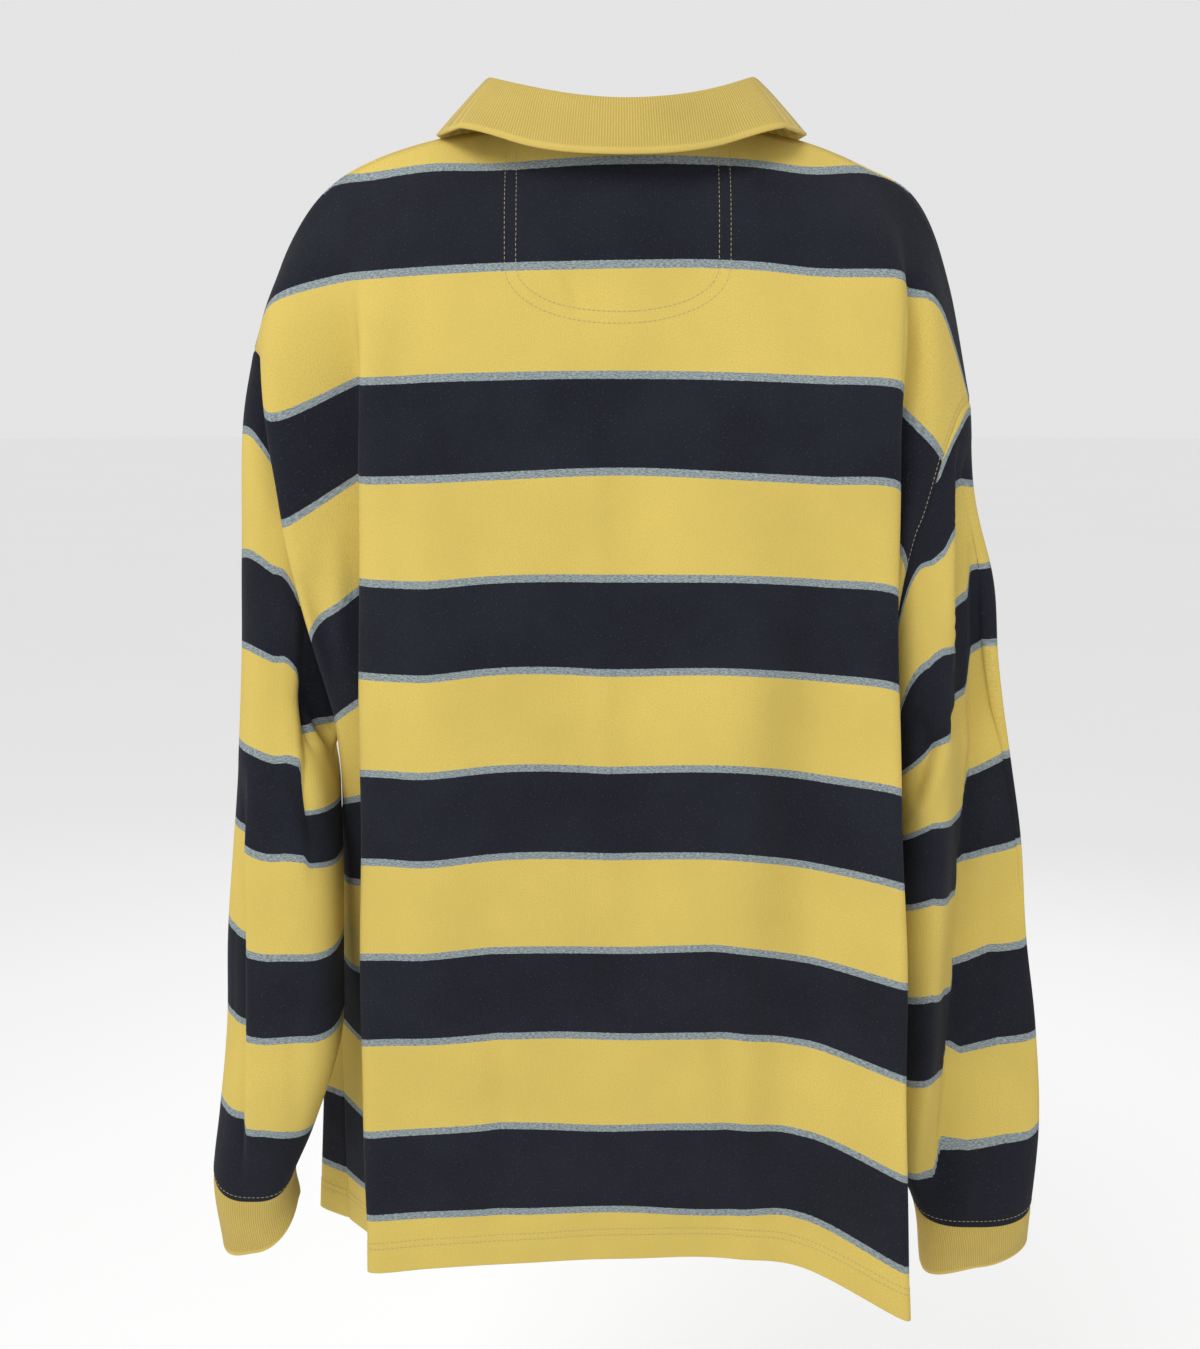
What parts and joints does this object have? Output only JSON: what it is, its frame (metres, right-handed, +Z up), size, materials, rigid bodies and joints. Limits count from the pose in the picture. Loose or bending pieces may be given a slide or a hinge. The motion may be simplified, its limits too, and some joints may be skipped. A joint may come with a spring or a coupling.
{
  "type": "long-sleeved rugby pullover",
  "caption": "Long-sleeved striped knit pullover with a fold-over rib collar, dropped shoulders and rib cuffs, hollow and hanging as if held at the neck.",
  "frame": {"origin": "middle of the neck opening at the height of the two shoulder points, where the garment is held", "axes": "+Z up the garment, -Y out of the back of the garment, +X to the wearer's right"},
  "size_m": [0.6452, 0.1766, 0.9014],
  "materials": {
    "striped_jersey": "matt cotton jersey, yellow and navy stripes with grey lines",
    "rib_knit": "matt yellow rib knit",
    "placket_cloth": "matt yellow woven cotton",
    "button_plastic": "semi-gloss cream"
  },
  "bodies": {
    "root": {"back_panel": "striped_jersey", "front_panel": "striped_jersey", "sleeve_left": "striped_jersey", "sleeve_right": "striped_jersey", "cuff_left": "rib_knit", "cuff_right": "rib_knit", "collar": "rib_knit", "placket_upper": "placket_cloth", "placket_under": "placket_cloth", "button_1": "button_plastic", "button_2": "button_plastic"}
  },
  "joints": []
}
